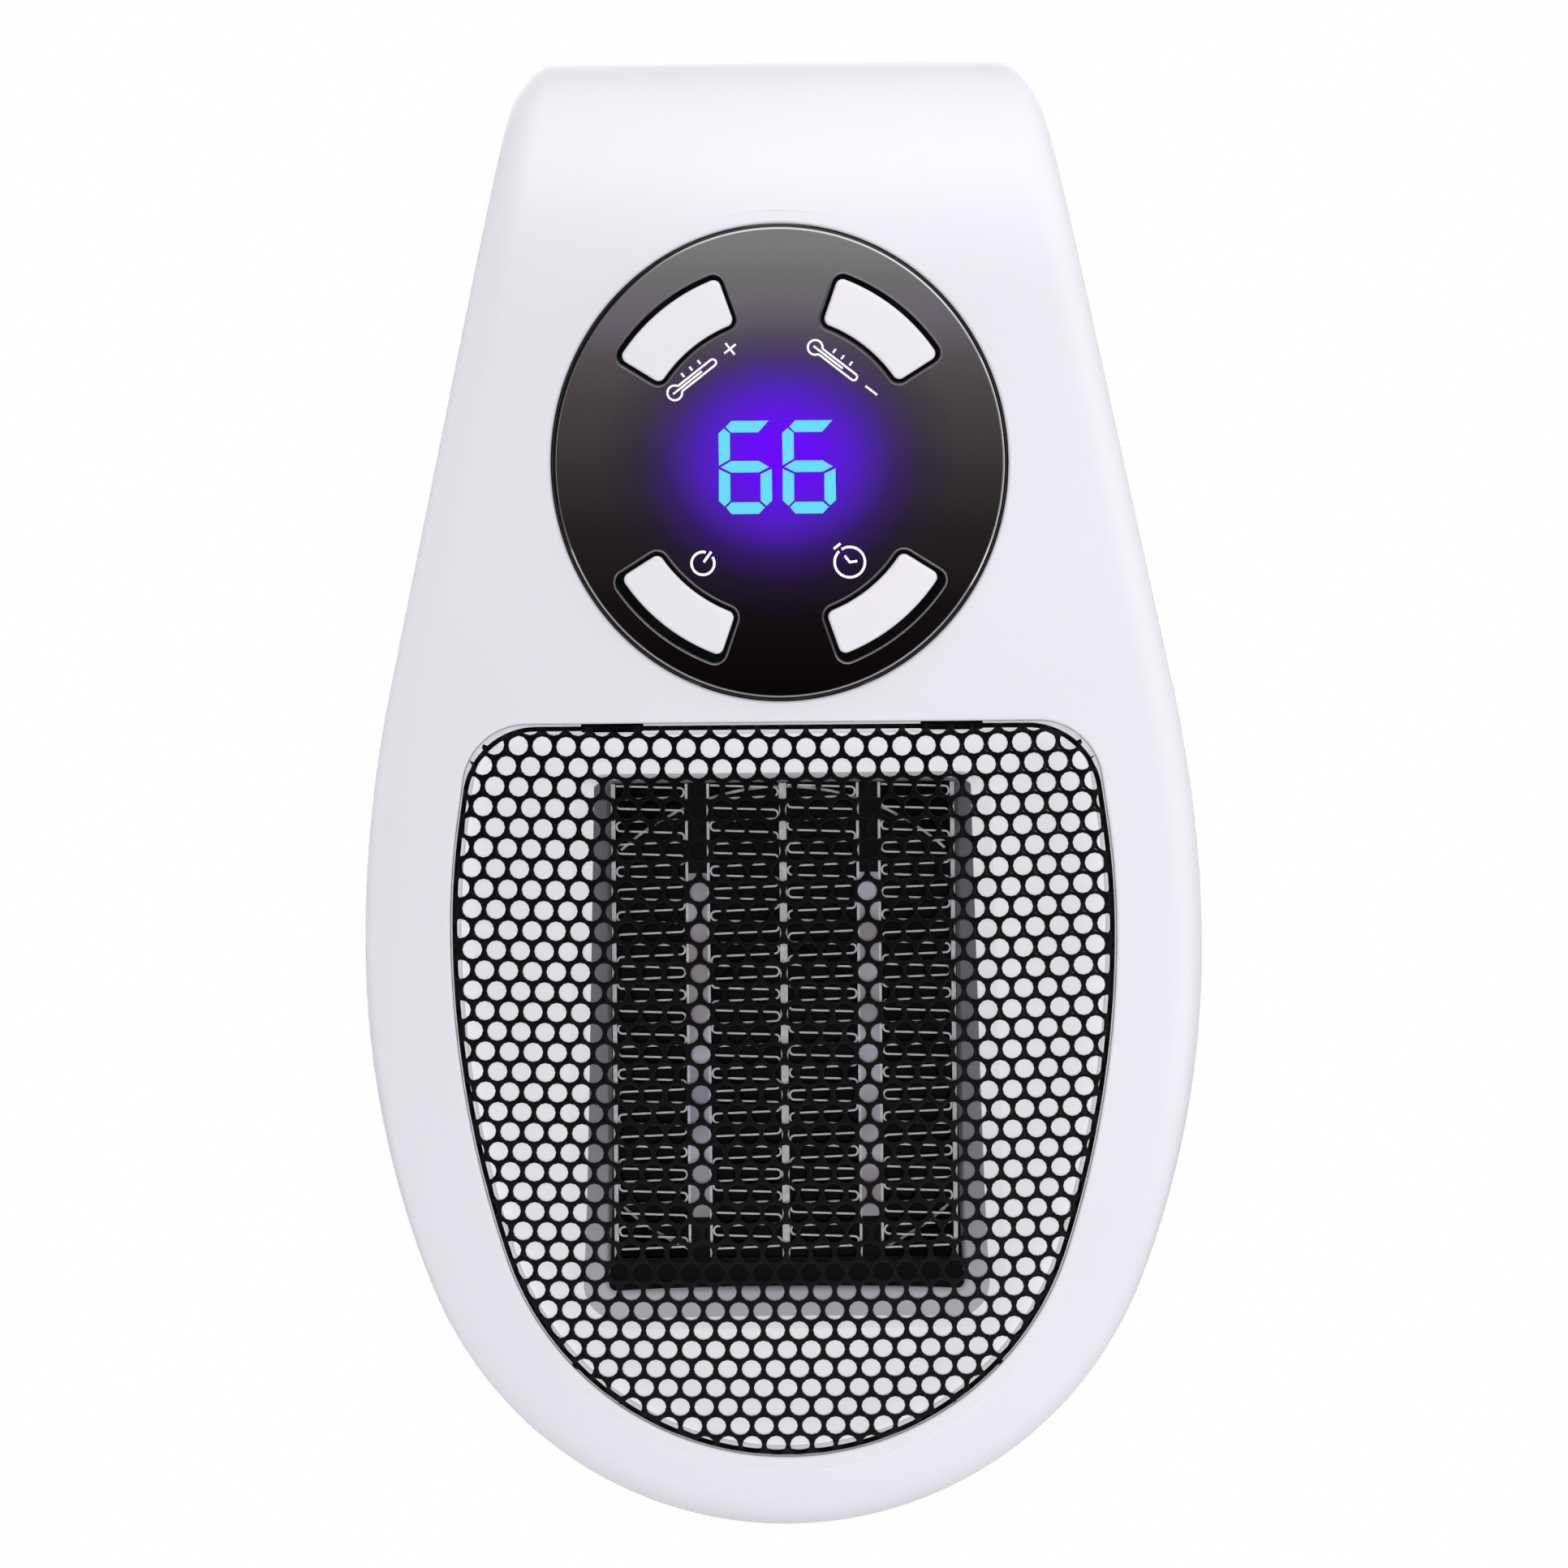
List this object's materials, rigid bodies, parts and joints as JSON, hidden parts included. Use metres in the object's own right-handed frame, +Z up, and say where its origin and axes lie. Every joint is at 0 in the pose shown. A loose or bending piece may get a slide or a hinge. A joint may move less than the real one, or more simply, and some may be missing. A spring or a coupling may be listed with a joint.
{
  "type": "plug-in fan heater",
  "caption": "Small wall-plug fan heater: pear-shaped housing on a swivelling two-pin plug, with a touch-key display panel above a perforated outlet grille and a ceramic core.",
  "frame": {"origin": "centre of the plug's end face, between the two pins", "axes": "+Z up, +Y into the wall along the pins, +X to the right seen from the room"},
  "size_m": [0.097, 0.108, 0.17],
  "materials": {
    "white_abs": "satin moulded ABS, near white",
    "smoked_acrylic": "polished smoked acrylic lens",
    "black_pp": "moulded polypropylene",
    "grey_pp": "moulded polypropylene",
    "white_pbt": "heat-proof moulded PBT",
    "black_pps": "glass-filled PPS",
    "green_pa": "moulded polyamide",
    "green_fr4": "solder-masked FR4 laminate",
    "lit_segments": "lit LED segments",
    "black_steel": "black powder-coated perforated steel",
    "aluminium_sheet": "thin rolled aluminium",
    "ceramic_bar": "PTC ceramic in an insulating film",
    "steel_can": "drawn steel",
    "nickel_brass": "nickel-plated brass"
  },
  "bodies": {
    "plug": {"plug_base": "black_pp", "live_pin": "nickel_brass", "neutral_pin": "nickel_brass", "swivel_retainer": "black_pp"},
    "housing": {"front_shell": "white_abs", "rear_shell": "white_abs", "control_panel": "smoked_acrylic", "control_board": "green_fr4", "tact_switches": "black_pp", "display_module": "black_pp", "digit_segments": "lit_segments", "grille_mesh": "black_steel", "outlet_duct": "white_pbt", "heater_frame": "black_pps", "radiator_plates": "aluminium_sheet", "ptc_bar_left": "ceramic_bar", "ptc_bar_right": "ceramic_bar", "ptc_insulators": "black_pps", "heater_terminals": "nickel_brass", "thermal_cutout": "steel_can", "fan_frame": "black_pp", "motor_can": "steel_can", "power_board": "green_fr4", "filter_capacitor": "grey_pp", "power_relay": "black_pps", "terminal_block": "green_pa", "rocker_switch_body": "black_pp", "fin_pack_1": "aluminium_sheet", "fin_pack_2": "aluminium_sheet", "fin_pack_3": "aluminium_sheet", "fin_pack_4": "aluminium_sheet"},
    "fan": {"fan_impeller": "grey_pp", "motor_shaft": "steel_can"},
    "main_rocker": {"rocker": "black_pp"},
    "warmer_key": {"button_warmer": "white_abs", "plunger_warmer": "black_pp"},
    "cooler_key": {"button_cooler": "white_abs", "plunger_cooler": "black_pp"},
    "power_key": {"button_power": "white_abs", "plunger_power": "black_pp"},
    "timer_key": {"button_timer": "white_abs", "plunger_timer": "black_pp"}
  },
  "joints": [
    {"name": "housing_swivel", "type": "hinge", "parent": "plug", "child": "housing", "pos_m": [0, 0, 0], "axis": [0, 1, 0], "range_deg": [-90, 90]},
    {"name": "fan_spin", "type": "hinge", "parent": "housing", "child": "fan", "pos_m": [0, -0.044, -0.08145], "axis": [0, 1, 0], "continuous": true},
    {"name": "main_rocker_tilt", "type": "hinge", "parent": "housing", "child": "main_rocker", "pos_m": [0, -0.0244, -0.0385], "axis": [0, 0, 1], "range_deg": [0, 16]},
    {"name": "warmer_press", "type": "slide", "parent": "housing", "child": "warmer_key", "axis": [0, 1, 0], "range_m": [0, 0.0008], "stiffness_N_per_m": 2000, "springref_m": -0.0002},
    {"name": "cooler_press", "type": "slide", "parent": "housing", "child": "cooler_key", "axis": [0, 1, 0], "range_m": [0, 0.0008], "stiffness_N_per_m": 2000, "springref_m": -0.0002},
    {"name": "power_press", "type": "slide", "parent": "housing", "child": "power_key", "axis": [0, 1, 0], "range_m": [0, 0.0008], "stiffness_N_per_m": 2000, "springref_m": -0.0002},
    {"name": "timer_press", "type": "slide", "parent": "housing", "child": "timer_key", "axis": [0, 1, 0], "range_m": [0, 0.0008], "stiffness_N_per_m": 2000, "springref_m": -0.0002}
  ]
}
